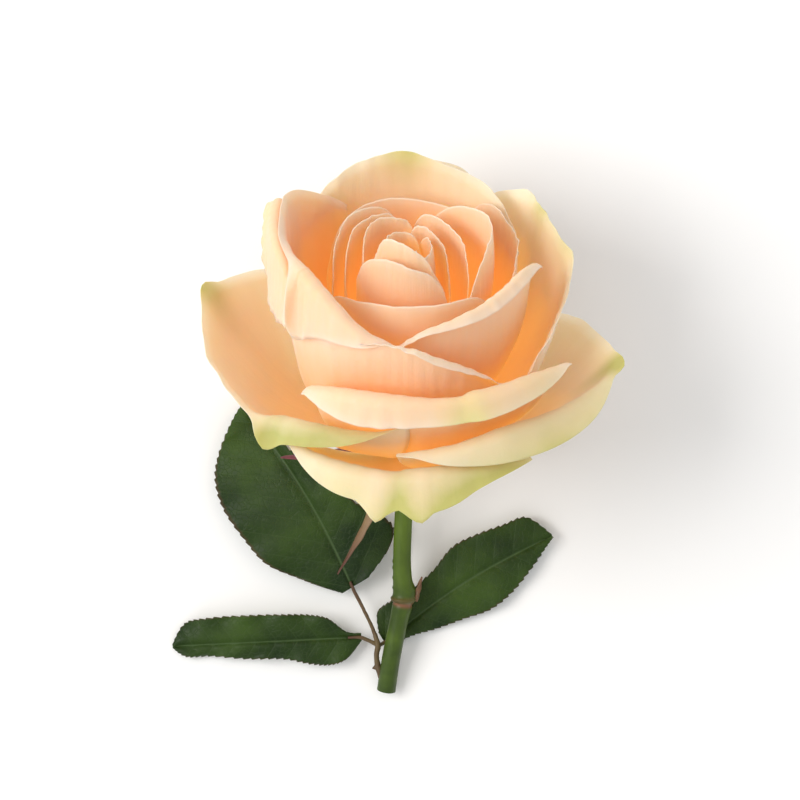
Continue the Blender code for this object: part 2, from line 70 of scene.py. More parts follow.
# Petals from the rolled centre outwards; node is the number of the solid that each one
# stands for. Azimuth 0 is the right side, 90 faces up, 180 is the left side and 270 the
# underside. crest: azimuth, radius and height along the rim, then for a turned margin how
# far it hangs beyond the curl and how many degrees it turns; curl is the curl's radius.
# tips: place along the rim, width, extra length. green: place, width, strength.
# folds: place, width, depth.
petals = [
    dict(node=1, crest=[(-60, 1.8, 58), (60, 2.4, 60), (180, 2.9, 60), (270, 3.4, 58)]),
    dict(node=2, crest=[(110, 5.0, 60), (190, 5.2, 62), (260, 5.4, 60), (310, 5.8, 58)]),
    dict(node=3, crest=[(-80, 6.6, 58), (-20, 6.0, 60), (50, 5.6, 60), (110, 5.6, 59)]),
    dict(
        node=4, corner=0.04, across=32,
        crest=[
            (44, 12.4, 55), (54, 11.0, 59), (66, 9.5, 64), (95, 8.4, 68), (132, 8.2, 68),
            (150, 8.6, 63), (168, 9.0, 58),
        ],
    ),
    dict(node=5, crest=[(265, 8.6, 59), (300, 8.6, 60), (350, 9.0, 58), (392, 11.6, 55)]),
    dict(node=6, crest=[(160, 10.6, 60), (200, 10.8, 63), (250, 10.8, 61), (285, 11.0, 58)]),
    dict(node=7, crest=[(42, 13.4, 57), (80, 12.4, 63), (120, 12.0, 65), (168, 12.8, 59)]),
    dict(node=8, crest=[(270, 13.6, 58), (300, 13.6, 60), (345, 14.0, 58), (388, 15.8, 55)]),
    dict(node=9, crest=[(158, 16.0, 57), (190, 14.8, 61), (230, 14.0, 61), (272, 14.4, 58)]),
    dict(
        node=10,
        crest=[
            (278, 17.6, 58), (320, 20.0, 62), (350, 21.4, 64), (375, 19.0, 60), (400, 17.6, 54),
        ],
    ),
    dict(node=11, crest=[(162, 19.4, 51), (188, 18.0, 60), (228, 17.6, 61), (268, 18.4, 57)]),
    dict(
        node=12,
        crest=[
            (16, 22.4, 50), (45, 21.0, 56), (92, 20.0, 58), (140, 20.4, 55), (168, 21.0, 49),
        ],
    ),
    dict(node=13, crest=[(205, 22.6, 54), (250, 22.4, 57), (300, 23.0, 55), (335, 24.0, 52)]),
    dict(node=14, crest=[(300, 27.0, 57), (330, 28.0, 58), (352, 27.6, 54), (378, 24.6, 48)]),
    dict(
        node=15, curl=1.4, corner=0.06,
        crest=[
            (0, 30.5, 57, 1, 130), (22, 27.6, 58, 2, 130), (48, 26.2, 57, 2, 130),
            (75, 26.4, 56, 1, 120), (95, 27.2, 53, 0, 100),
        ],
    ),
    dict(
        node=17, curl=1.7, corner=0.05, across=52,
        crest=[
            (95, 30.2, 55, 0, 60), (109, 30.0, 57, 2, 150), (126, 29.5, 62, 9, 170),
            (137, 29.4, 65, 15, 172), (145, 29.4, 66, 18, 172), (150, 29.6, 66, 2, 130),
            (172, 30.2, 65, 1, 50), (190, 30.6, 66, 0, 30), (202, 30.6, 65, 0, 20),
            (222, 29.0, 58, 0, 12), (236, 27.0, 54, 0, 12),
        ],
    ),
    dict(
        node=19, curl=1.4, corner=0.05, green=[(0.8, 0.2, 0.5)],
        crest=[
            (150, 31.0, 63, 11, 172), (160, 31.2, 65, 19, 178), (174, 31.4, 66, 19, 178),
            (185, 31.6, 66, 16, 175), (196, 32.0, 66, 8, 160), (206, 32.2, 63, 2, 90),
        ],
    ),
    dict(
        node=16, curl=2.5, corner=0.12, tips=[(0.45, 0.05, 0.8)], green=[(0.45, 0.08, 0.8)],
        crest=[
            (212, 30.5, 54, 0, 15), (236, 30.0, 59, 0, 20), (262, 30.5, 60.5, 0, 22),
            (290, 30.5, 58, 0, 20), (312, 30.5, 55.5, 0, 20), (336, 30.0, 51, 0, 15),
        ],
    ),
    dict(
        node=18, curl=1.6, corner=0.08, flare=0.15,
        crest=[
            (42, 31.5, 33, 0, 60), (64, 33.2, 46, 1, 110), (84, 34.0, 54, 1, 110),
            (100, 33.2, 55.5, 0, 50), (124, 32.4, 49.5, 0, 15), (154, 32.4, 48, 0, 12),
        ],
    ),
    dict(
        node=20, curl=3.0, flare=0.3,
        crest=[
            (234, 38.0, 47, 1, 30), (266, 39.0, 51, 1, 30), (300, 39.0, 49, 1, 30),
        ],
    ),
    dict(
        node=21, curl=2.5, corner=0.1, flare=0.3, tips=[(0.22, 0.05, 1.2), (0.6, 0.04, 2.0)],
        green=[(0.36, 0.08, 0.7), (0.56, 0.08, 0.5)],
        crest=[
            (300, 35.0, 51, 0, 25), (320, 36.4, 54, 0, 22), (334, 37.0, 53.5, 0, 22),
            (350, 39.8, 46.5, 0, 22), (370, 37.0, 41, 0, 25), (390, 34.6, 36, 0, 25),
        ],
    ),
    dict(
        # the second, broad green tint at 0.22 is painted shade on the right part of the lip
        node=22, curl=2.8, corner=0.04, flare=0.5, green=[(0.41, 0.05, 0.9), (0.22, 0.14, 0.35)],
        folds=[(0.41, 0.1, 1.3)],
        crest=[
            (24, 42.0, 37, 0, 70), (48, 40.0, 42, 3, 130), (84, 39.6, 45, 4.5, 150),
            (108, 39.0, 45, 5, 150), (130, 37.6, 41, 0, 110),
        ],
    ),
    dict(
        node=23, curl=4.0, flare=0.8,
        crest=[
            (224, 42.0, 29, 2, 60), (246, 45.0, 31, 3, 60), (269, 45.0, 31, 2, 60),
        ],
    ),
    dict(
        node=24, curl=4.0, flare=0.8,
        crest=[
            (276, 45.0, 29, 2, 60), (300, 46.0, 31, 3, 60), (324, 43.0, 29, 2, 60),
        ],
    ),
    dict(
        node=25, curl=2.5, corner=0.03, flare=1.0, fanOut=0.95,
        tips=[(0.83, 0.022, 2.4), (0.4, 0.03, 2.0)],
        green=[(0.83, 0.04, 1.2), (0.22, 0.17, 1.3), (0.4, 0.05, 1.1)],
        crest=[
            (90, 35.0, 33, 0, 20), (106, 38.0, 31.5, 1, 100), (120, 39.5, 31, 3, 125),
            (130, 40.5, 30, 4, 130), (138, 41.0, 28, 5, 130), (145, 45.5, 27.5, 1, 40),
            (153, 48.5, 31.5, 0, 20), (168, 49.5, 32.5, 0, 18), (184, 49.5, 37.5, 0, 18),
            (199, 46.0, 34, 0, 30), (214, 41.0, 31, 1, 50),
        ],
    ),
    dict(
        node=26, curl=3.0, corner=0.03, flare=1.0, fanOut=0.95, tips=[(0.33, 0.022, 2.4)],
        green=[(0.33, 0.04, 1.2), (0.6, 0.22, 0.8)],
        crest=[
            (-28, 41.0, 20, 0, 40), (-8, 45.0, 24, 0, 25), (9, 50.5, 26.5, 0, 25),
            (29, 46.0, 28, 4, 90), (54, 42.0, 31, 6, 115), (76, 40.5, 29, 2, 115),
            (94, 40.0, 27, 0, 40),
        ],
    ),
    dict(
        node=27, curl=4.0, flare=0.9, green=[(0.5, 0.3, 0.6)],
        crest=[
            (222, 41.0, 21, 2, 70), (245, 46.0, 23, 3, 70), (267, 44.0, 21, 2, 70),
        ],
    ),
    dict(
        node=28, curl=4.0, flare=0.9, green=[(0.5, 0.3, 0.6)],
        crest=[
            (273, 44.0, 21, 2, 70), (295, 46.0, 23, 3, 70), (320, 41.0, 21, 2, 70),
        ],
    ),
    dict(
        node=29, curl=3.0, corner=0.03, flare=1.0, fanOut=0.55,
        tips=[(0.385, 0.028, 3.0), (0.5, 0.035, 4.5)],
        # the first, broad green tint paints the right flap, up to the fold at 0.44, olive: painted shade
        green=[(0.2, 0.24, 1.2), (0.44, 0.05, 0.9), (0.62, 0.12, 0.4)], folds=[(0.44, 0.09, 1.2)],
        crest=[
            (48, 43.0, 21, 0.6, 80), (66, 42.5, 23, 2.5, 105), (82, 42.0, 23.5, 7.5, 110),
            (99, 42.0, 23, 5.5, 110), (115, 42.0, 23, 4, 105), (131, 42.0, 23.5, 0.6, 60),
            (143, 40.5, 22.5, 0, 30),
        ],
    ),
]

# Smooth curves and grids.

def smoothStep(a, b, c, d, t):
    # between b and c on a smooth curve that passes through all four
    bend = (2 * a - 5 * b + 4 * c - d) * t * t + (3 * b - a - 3 * c + d) * t ** 3
    return 0.5 * (2 * b + (c - a) * t + bend)


def curveAt(stations, share):
    pts = np.asarray(stations, float)
    last = len(pts) - 1
    place = min(max(share, 0.0), 1.0) * last
    i = min(int(place), last - 1)
    t = place - i
    a, b, c, d = pts[max(i - 1, 0)], pts[i], pts[i + 1], pts[min(i + 2, last)]
    return smoothStep(a, b, c, d, t)


def bezier(p0, p1, p2, p3, t):
    s = 1 - t
    return s ** 3 * p0 + 3 * s * s * t * p1 + 3 * s * t * t * p2 + t ** 3 * p3


def bump(place, centre, width):
    return math.exp(-((place - centre) / width) ** 2)


def gridNormals(grid):
    normal = np.cross(np.gradient(grid, axis=0), np.gradient(grid, axis=1))
    return normal / np.maximum(np.linalg.norm(normal, axis=2, keepdims=True), 1e-9)


def gridFaces(rows, columns, start=0):
    faces = []
    for j in range(rows - 1):
        for i in range(columns - 1):
            a = start + j * columns + i
            faces.append((a, a + columns, a + columns + 1, a + 1))
    return faces


def finerRows(grid, factor):
    # a smooth curve through the rows, with factor - 1 new rows between each two
    first = 2 * grid[:1] - grid[1:2]
    last = 2 * grid[-1:] - grid[-2:-1]
    wide = np.concatenate([first, grid, last])
    a, b, c, d = wide[:-3], wide[1:-2], wide[2:-1], wide[3:]
    out = np.zeros(((grid.shape[0] - 1) * factor + 1,) + grid.shape[1:])
    for k in range(factor):
        out[k:-1:factor] = smoothStep(a, b, c, d, k / factor)
    out[-1] = grid[-1]
    return out


def finer(grid, factor):
    return finerRows(finerRows(grid, factor).swapaxes(0, 1), factor).swapaxes(0, 1)


def edgeRun(points, axis):
    # distance of every grid point to the two ends of its row or column
    step = np.linalg.norm(np.diff(points, axis=axis), axis=2)
    pad = [(0, 0), (0, 0)]
    pad[axis] = (1, 0)
    run = np.cumsum(np.pad(step, pad), axis=axis)
    total = np.take(run, [-1], axis=axis)
    return run, total - run

# Meshes.

def newObject(name, points, faces, nodeName):
    mesh = bpy.data.meshes.new(name)
    mesh.from_pydata(points, [], faces)
    mesh.validate()
    mesh.shade_smooth()
    made = bpy.data.objects.new(name, mesh)
    bpy.context.scene.collection.objects.link(made)
    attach(made, "root")
    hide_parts(nodeName)
    return made


def addValues(mesh, name, values):
    attribute = mesh.attributes.new(name, "FLOAT", "POINT")
    attribute.data.foreach_set("value", np.asarray(values, np.float32).ravel())


def movedBy(matrix, points):
    return np.asarray(points) @ np.array(matrix.to_3x3()).T + np.array(matrix.translation)


def thinSolid(name, grid, thick, place, nodeName, values):
    # a closed sheet around a grid of millimetre points, with one value of each kind per point
    rows, columns, _ = grid.shape
    offset = gridNormals(grid) * thick[:, :, None] / 2
    flat = np.concatenate([(grid + offset).reshape(-1, 3), (grid - offset).reshape(-1, 3)]) * mm
    points = movedBy(place, flat)
    count = rows * columns
    upper = gridFaces(rows, columns)
    lower = [tuple(reversed(f)) for f in gridFaces(rows, columns, count)]
    rim = list(range(columns - 1))
    rim += [j * columns + columns - 1 for j in range(rows - 1)]
    rim += [(rows - 1) * columns + i for i in range(columns - 1, 0, -1)]
    rim += [j * columns for j in range(rows - 1, 0, -1)]
    walls = [(a, b, b + count, a + count) for a, b in zip(rim, rim[1:] + rim[:1])]
    made = newObject(name, points.tolist(), upper + lower + walls, nodeName)
    for key, value in values.items():
        bothSides = value if isinstance(value, list) else [value, value]
        addValues(made.data, key, np.concatenate([bothSides[0].ravel(), bothSides[1].ravel()]))
    addValues(made.data, "outside", np.concatenate([np.ones(count), np.zeros(count)]))
    return made

# The shape of the petals.

# Side view of a petal, as shares of its reach and rise. A pair holds the value of an
# upright cup and what a spreading dish loses of it. Narrow petals bulge, in millimetres.
sideView = dict(
    bellyOut=(0.80, 0.35), bellyUp=0.10, shoulderOut=(0.985, 0.20), shoulderUp=(0.56, 0.16),
    bulge=3.2, bulgeReach=36.0,
)


def bodyCurve(claw, reach, rise, flare):
    # from claw to crest: an upright cup at flare 0, a spreading dish at flare 1
    pairs = [sideView[key] for key in ("bellyOut", "shoulderOut", "shoulderUp")]
    bellyOut, shoulderOut, shoulderUp = [cup - loss * flare for cup, loss in pairs]
    bulge = sideView["bulge"] * max(0.0, 1.0 - reach / sideView["bulgeReach"])
    belly = (claw[0] + bellyOut * (reach - claw[0]), claw[1] + sideView["bellyUp"] * (rise - claw[1]))
    shoulder = (reach * shoulderOut + bulge, claw[1] + shoulderUp * (rise - claw[1]))
    return [np.array(p, float) for p in (claw, belly, shoulder, (reach, rise))]


def turnedOver(crest, heading, radius, degrees, run):
    start = math.atan2(heading[1], heading[0])
    bent = min(run / radius, math.radians(degrees))
    beyond = max(0.0, run - radius * math.radians(degrees))
    ahead = np.array([math.cos(start), math.sin(start)])
    side = np.array([math.sin(start), -math.cos(start)])
    turn = radius * ((1 - math.cos(bent)) * side + math.sin(bent) * ahead)
    return crest + turn + beyond * (math.cos(bent) * ahead + math.sin(bent) * side)


def petalGrid(spec, order):
    shareOut = order / (len(petals) - 1)
    claw = [a + (b - a) * shareOut for a, b in zip(bloom["clawInner"], bloom["clawOuter"])]
    crest = spec["crest"]
    curl = spec.get("curl")
    across, bodyRows = bloom["bigGrid"] if order >= bloom["firstBig"] else bloom["smallGrid"]
    across = spec.get("across", across)
    arcRows, hangRows, longHangRows = bloom["marginRows"]
    marginRows = []                # share of the curl and share of the hang, row by row
    if curl:
        if max(station[3] for station in crest) > bloom["longHang"]:
            hangRows = longHangRows
        marginRows = [((k + 1) / arcRows, 0.0) for k in range(arcRows)]
        marginRows += [(1.0, (k + 1) / hangRows) for k in range(hangRows)]
    middle = 0.5 * (crest[0][0] + crest[-1][0])
    grid = np.zeros((bodyRows + 1 + len(marginRows), across + 1, 3))
    for i in range(across + 1):
        u = i / across
        station = curveAt(crest, u)
        tips = spec.get("tips", [])
        longer = sum(length * bump(u, at, width) for at, width, length in tips)
        curve = bodyCurve(claw, station[1], station[2], spec.get("flare", 0.0))
        corner = max(0.0, abs(2 * u - 1) - 0.5) / 0.5
        top = 1 - spec.get("corner", bloom["cornerCut"]) * corner ** 2.5
        for j in range(grid.shape[0]):
            v = (1 - max(1 - j / bodyRows, 0.0) ** bloom["rowGrade"]) * top     # closer towards the crest
            place = bezier(*curve, v)
            if j > bodyRows:
                turned, hung = marginRows[j - bodyRows - 1]
                heading = place - bezier(*curve, v - 0.01)
                degrees = max(station[4], bloom["leastTurn"])
                radius = max(curl, bloom["leastArc"] / math.radians(degrees))
                hang = max(station[3], bloom["leastHang"]) + longer
                run = turned * radius * math.radians(degrees) + hung * hang
                place = turnedOver(place, heading, radius, degrees, run)
            opened = min(1.0, v / spec.get("fanOut", 0.5))
            spread = bloom["clawWidth"] + (1 - bloom["clawWidth"]) * math.sin(opened * math.pi / 2)
            around = math.radians(middle + (station[0] - middle) * spread)
            grid[j, i] = (place[0] * math.cos(around), -place[0] * math.sin(around), place[1])
    return grid


def spreadOut(field):
    padded = np.pad(field, ((1, 1), (1, 1), (0, 0)), mode="edge")
    total = 4 * padded[1:-1, 1:-1] + 2 * padded[:-2, 1:-1] + 2 * padded[2:, 1:-1]
    total += 2 * padded[1:-1, :-2] + 2 * padded[1:-1, 2:]
    total += padded[:-2, :-2] + padded[:-2, 2:] + padded[2:, :-2] + padded[2:, 2:]
    return total / 16


# How a petal is pushed clear of those inside it: rounds of pushing, how many of the last
# are kept sharp, how often a push is spread out, how far in mm a petal in the way is
# looked for and how squarely it must be met, and the share of the clear space to keep.
settling = dict(rounds=26, lastSharp=8, spreads=2, lookOut=14.0, squarely=0.25, near=0.98)


def clearPlace(point, outwards, placed, clearance):
    hit, normal, _, _ = placed.ray_cast(point, outwards, settling["lookOut"])
    if hit is not None and normal.dot(outwards) > settling["squarely"]:
        return hit + normal * clearance
    near, normal, _, distance = placed.find_nearest(point, clearance * settling["near"])
    if near is None:
        return None
    if distance > 1e-4:
        return near + (point - near) * (clearance / distance)
    return near + normal * clearance


def settle(grid, placed, clearance):
    # push a petal outwards wherever it would meet the petals inside it
    if placed is None:
        return grid
    for step in range(settling["rounds"]):
        facing = gridNormals(grid)
        push = np.zeros_like(grid)
        for j in range(grid.shape[0]):
            for i in range(grid.shape[1]):
                point = Vector(grid[j, i])
                target = clearPlace(point, Vector(facing[j, i]), placed, clearance)
                if target is not None:
                    push[j, i] = target - point
        if not push.any():
            break
        if step < settling["rounds"] - settling["lastSharp"]:
            soft = push
            for _ in range(settling["spreads"]):
                soft = spreadOut(soft)
            push = np.where(np.abs(push) > np.abs(soft), push, soft)
        grid = grid + push
    return grid


def foldAt(u, at, width, depth):
    # a ridge that is sharp on its left flank and runs out gently on the other
    away = (u - at) / width
    return depth * math.exp(-(away if away > 0 else 6 * away) ** 2)


def petalDetail(spec, order, grid):
    # unevenness, a ruffled margin, folds and fine veins, along each point's normal
    rows, columns, _ = grid.shape
    normal = gridNormals(grid)
    fromClaw, toRim = edgeRun(grid, 0)
    toLeft, toRight = edgeRun(grid, 1)
    along = fromClaw / (fromClaw + toRim)
    side = np.minimum(toLeft, toRight)
    margin = np.minimum(toRim, side + 2.0 * (1 - along))
    across = np.tile(np.linspace(0, 1, columns), (rows, 1))
    shift = np.zeros((rows, columns))
    for j in range(rows):
        for i in range(columns):
            u = across[j, i]
            v = along[j, i]
            here = Vector(grid[j, i])
            rough = noise.noise(here * 0.07 + Vector((order * 3.1, 0, 0))) * bloom["uneven"]
            wave = math.sin(u * 17 + order * 2.3 + 3 * noise.noise(Vector((u * 5, order, 0))))
            ripple = noise.noise(Vector((u * 24, v * 3, order * 1.7)))
            ruffle = (wave + 1.4 * ripple) * bloom["ruffle"] * math.exp(-margin[j, i] / 4.0)
            vein = math.sin(u * 95 + 2.2 * noise.noise(Vector((u * 9, v * 4, order)))) * bloom["veinDepth"]
            fold = sum(foldAt(u, *ridge) for ridge in spec.get("folds", []))
            shift[j, i] = v * v * (rough + ruffle) + v * vein + fold * max(0.0, v - 0.55) / 0.45
    inner = 0.6 if order < bloom["firstBig"] else 1.0
    grid = grid + normal * (shift * inner)[:, :, None]
    thinning = np.clip(margin / bloom["thinReach"], 0, 1)
    thick = bloom["rimThick"] + (bloom["baseThick"] - bloom["rimThick"]) * thinning
    # green towards the rim where a petal lists it; on petals 22 and 29 a broad part of it is painted shade
    greenAndShadeTint = np.zeros((rows, columns))
    for at, width, strength in spec.get("green", []):
        greenAndShadeTint += strength * np.exp(-((across - at) / width) ** 2) * np.exp(-toRim / bloom["tintReach"])
    return grid, thick, dict(along=along, margin=margin, across=across, greenAndShadeTint=np.clip(greenAndShadeTint, 0, 1))


# Looking out of the bloom: number of directions, where a look starts above the face and
# how far it reaches, in millimetres.
lookout = dict(rays=14, start=0.25, reach=60.0)


def openness(grid, side, everything):
    # share of evenly spread directions in which a grid's face looks out of the bloom
    golden = math.pi * (3 - math.sqrt(5))
    rays = lookout["rays"]
    fan = []
    for k in range(rays):
        up = (k + 0.5) / rays
        flat = math.sqrt(1 - up * up)
        fan.append((flat * math.cos(golden * k), flat * math.sin(golden * k), up))
    facing = gridNormals(grid) * side
    free = np.zeros(grid.shape[:2])
    for j in range(grid.shape[0]):
        for i in range(grid.shape[1]):
            normal = Vector(facing[j, i])
            turn = normal.to_track_quat("Z", "Y")
            start = Vector(grid[j, i]) + normal * lookout["start"]
            hits = [everything.ray_cast(start, turn @ Vector(ray), lookout["reach"])[0] for ray in fan]
            free[j, i] = hits.count(None) / rays
    return spreadOut(free[:, :, None])


def makePetals(peach, cream):
    points = []
    faces = []
    grids = []
    everything = None
    for order, spec in enumerate(petals):
        grids.append(settle(petalGrid(spec, order), everything, bloom["gap"]))
        faces += gridFaces(grids[-1].shape[0], grids[-1].shape[1], len(points))
        points += [tuple(p) for p in grids[-1].reshape(-1, 3)]
        everything = BVHTree.FromPolygons(points, faces)
    print("petals settled")
    for order, (spec, grid) in enumerate(zip(petals, grids)):
        fine, thick, values = petalDetail(spec, order, finer(grid, 2))
        # how open each face is to the room, the mask of the painted glow in the hollows
        values["open"] = [finer(openness(grid, side, everything), 2)[:, :, 0] for side in (1, -1)]
        node = spec["node"]
        outer = node >= bloom["outerFrom"]
        name = f"bloomPetal{node:02d}"
        made = thinSolid(name, fine, thick, bloomPlace, f"petal_{node:02d}", values)
        made.data.materials.append(cream if outer or node in bloom["alsoPale"] else peach)
    print("petals made:", len(petals))

# Finishes: small helpers to build them, then those of the petals.

def newFinish(name, roughness):
    made = bpy.data.materials.new(name)
    made.use_nodes = True
    give(made, "Roughness", roughness)
    return made


def addNode(finish, kind):
    return finish.node_tree.nodes.new("ShaderNode" + kind)


def feed(finish, socket, value):
    # a number, a colour or another node's output
    if isinstance(value, (int, float)):
        socket.default_value = value
    elif isinstance(value, tuple):
        socket.default_value = (*value, 1.0)
    else:
        finish.node_tree.links.new(value, socket)


def give(finish, name, value):
    feed(finish, finish.node_tree.nodes["Principled BSDF"].inputs[name], value)


def readValue(finish, name):
    node = addNode(finish, "Attribute")
    node.attribute_name = name
    return node.outputs["Fac"]


def readPlace(finish):
    return addNode(finish, "TexCoord").outputs["Object"]


def colourRamp(finish, source, stops):
    ramp = addNode(finish, "ValToRGB")
    feed(finish, ramp.inputs["Fac"], source)
    bar = ramp.color_ramp
    while len(bar.elements) < len(stops):
        bar.elements.new(0.5)
    for element, (at, colour) in zip(bar.elements, stops):
        element.position = at
        element.color = (*colour, 1.0)
    return ramp.outputs["Color"]


def mixColours(finish, share, first, second):
    mix = addNode(finish, "Mix")
    mix.data_type = "RGBA"
    for socket, value in ((mix.inputs[0], share), (mix.inputs[6], first), (mix.inputs[7], second)):
        feed(finish, socket, value)
    return mix.outputs[2]


def calc(finish, operation, first, second=0.0):
    node = addNode(finish, "Math")
    node.operation = operation
    feed(finish, node.inputs[0], first)
    feed(finish, node.inputs[1], second)
    return node.outputs[0]


def plus(finish, first, second):
    return calc(finish, "ADD", first, second)


def minus(finish, first, second):
    return calc(finish, "SUBTRACT", first, second)


def times(finish, first, second):
    return calc(finish, "MULTIPLY", first, second)


def atLeast(finish, first, second):
    return calc(finish, "MAXIMUM", first, second)


def noisePattern(finish, vector, scale, detail):
    node = addNode(finish, "TexNoise")
    feed(finish, node.inputs["Vector"], vector)
    feed(finish, node.inputs["Scale"], scale)
    feed(finish, node.inputs["Detail"], detail)
    return node.outputs["Fac"]


def addRelief(finish, height, strength, distance):
    relief = addNode(finish, "Bump")
    feed(finish, relief.inputs["Height"], height)
    feed(finish, relief.inputs["Strength"], strength)
    feed(finish, relief.inputs["Distance"], distance)
    give(finish, "Normal", relief.outputs["Normal"])


petalLook = dict(
    inner=dict(
        belly=(0.98, 0.58, 0.25), face=(0.98, 0.62, 0.36), rim=(0.96, 0.65, 0.46),
        edge=(0.96, 0.72, 0.57), green=(0.66, 0.64, 0.26), paintedGlowShare=0.75,
    ),
    outer=dict(
        belly=(0.98, 0.73, 0.49), face=(0.97, 0.78, 0.59), rim=(0.94, 0.75, 0.56),
        edge=(0.90, 0.75, 0.57), green=(0.44, 0.46, 0.14), paintedGlowShare=0.4,
    ),
    # the painted glow: the orange mixed in and emitted where a face sees little of the room, how fast it fades
    # as the face opens, and how strongly it glows
    paintedGlowOrange=(1.0, 0.59, 0.16), closed=4.2, glow=0.2, roughness=0.6, gloss=0.3, sheen=0.04,
    soft=0.7, softScale=0.0009, softRadius=(1.0, 0.75, 0.55), edgeWidth=2.6,
    blotchScale=70.0, cellScale=1500.0, veinsAcross=26.0, veinsAlong=2.2, streaks=0.26, relief=0.4,
)


def petalFinish(name, look):
    finish = newFinish(name, petalLook["roughness"])
    keys = ("along", "across", "margin", "greenAndShadeTint", "open")
    along, across, margin, greenAndShadeTint, opened = [readValue(finish, key) for key in keys]
    place = readPlace(finish)
    blotch = noisePattern(finish, place, petalLook["blotchScale"], 4.0)
    fan = addNode(finish, "CombineXYZ")
    feed(finish, fan.inputs[0], times(finish, across, petalLook["veinsAcross"]))
    feed(finish, fan.inputs[1], times(finish, along, petalLook["veinsAlong"]))
    streak = noisePattern(finish, fan.outputs[0], 2.0, 5.0)
    # from the orange of the claw to the pale margin, uneven along the fan of the veins
    uneven = plus(finish, along, times(finish, minus(finish, streak, 0.5), petalLook["streaks"]))
    stops = [(0.25, look["belly"]), (0.70, look["face"]), (1.0, look["rim"])]
    colour = colourRamp(finish, uneven, stops)
    edge = minus(finish, 1.0, calc(finish, "DIVIDE", margin, petalLook["edgeWidth"]))
    edge = times(finish, atLeast(finish, edge, 0.0), 0.7)
    colour = mixColours(finish, edge, colour, look["edge"])
    pale = times(finish, minus(finish, blotch, 0.45), 0.7)
    colour = mixColours(finish, atLeast(finish, pale, 0.0), colour, look["edge"])
    # deep between the petals, where a face sees little of the room, the colour is mixed towards a strong orange
    # and the surface glows faintly: painted glow standing in for light trapped between and passed through the
    # petals
    paintedGlowMask = minus(finish, 1.0, times(finish, opened, petalLook["closed"]))
    paintedGlowMask = atLeast(finish, paintedGlowMask, 0.0)
    colour = mixColours(finish, times(finish, paintedGlowMask, look["paintedGlowShare"]), colour, petalLook["paintedGlowOrange"])
    give(finish, "Emission Color", petalLook["paintedGlowOrange"])
    give(finish, "Emission Strength", times(finish, paintedGlowMask, petalLook["glow"]))
    # the green tint, uneven with the blotches; on petals 22 and 29 its broad parts are painted shade
    green = times(finish, greenAndShadeTint, plus(finish, blotch, 0.45))
    green = calc(finish, "MINIMUM", green, 0.92)
    give(finish, "Base Color", mixColours(finish, green, colour, look["green"]))
    give(finish, "Subsurface Weight", petalLook["soft"])
    give(finish, "Subsurface Scale", petalLook["softScale"])
    shader = finish.node_tree.nodes["Principled BSDF"]
    shader.inputs["Subsurface Radius"].default_value = petalLook["softRadius"]
    give(finish, "Sheen Weight", petalLook["sheen"])
    give(finish, "Specular IOR Level", petalLook["gloss"])
    cells = noisePattern(finish, place, petalLook["cellScale"], 2.0)
    addRelief(finish, plus(finish, streak, times(finish, cells, 0.35)), petalLook["relief"], 0.0002)
    return finish


makePetals(petalFinish("petalPeach", petalLook["inner"]), petalFinish("petalCream", petalLook["outer"]))

# The hip.

hip = dict(
    outline=[
        (0.0, -8.4), (2.6, -8.4), (3.6, -8.0), (4.5, -7.2), (5.3, -6.3), (6.0, -5.0), (6.5, -3.4),
        (6.8, -1.6), (6.8, -0.4), (5.6, 1.4), (4.4, 3.4), (3.0, 6.0), (1.6, 8.1), (0.0, 8.5),
    ],
    sides=48, ribs=5, ribDepth=0.12, green=(0.12, 0.20, 0.035), pale=(0.26, 0.36, 0.08),
)


def ringFaces(rings, sides):
    faces = []
    for k in range(rings - 1):
        for n in range(sides):
            after = (n + 1) % sides
            faces.append((k * sides + n, k * sides + after, (k + 1) * sides + after, (k + 1) * sides + n))
    faces.append(tuple(reversed(range(sides))))
    faces.append(tuple((rings - 1) * sides + n for n in range(sides)))
    return faces


def hipFinish():
    # green skin in two tones with a fine grain and a waxy gloss
    finish = newFinish("hipGreen", 0.42)
    place = readPlace(finish)
    tone = noisePattern(finish, place, 90.0, 5.0)
    give(finish, "Base Color", colourRamp(finish, tone, [(0.35, hip["green"]), (0.68, hip["pale"])]))
    give(finish, "Subsurface Weight", 0.1)
    give(finish, "Subsurface Scale", 0.001)
    addRelief(finish, noisePattern(finish, place, 810.0, 3.0), 0.3, 0.0002)
    return finish


def makeHip():
    points = []
    rings = []
    for low, high in zip(hip["outline"], hip["outline"][1:]):
        rings += [np.array(low), (np.array(low) + np.array(high)) / 2]
    rings.append(np.array(hip["outline"][-1]))
    rings = rings[1:-1]
    for radius, height in rings:
        for n in range(hip["sides"]):
            turn = 2 * math.pi * n / hip["sides"]
            rib = 0.5 + 0.5 * math.cos(turn * hip["ribs"])
            ribbed = radius - hip["ribDepth"] * rib * min(1.0, radius / 5)
            points.append((ribbed * math.cos(turn), ribbed * math.sin(turn), height))
    solid = movedBy(bloomPlace, np.array(points) * mm)
    made = newObject("roseHip", solid.tolist(), ringFaces(len(rings), hip["sides"]), "hip")
    made.data.materials.append(hipFinish())
    print("hip made")


makeHip()

# Stem, leaf stalk and axil bud: centre and radius of the tube, from the low end up

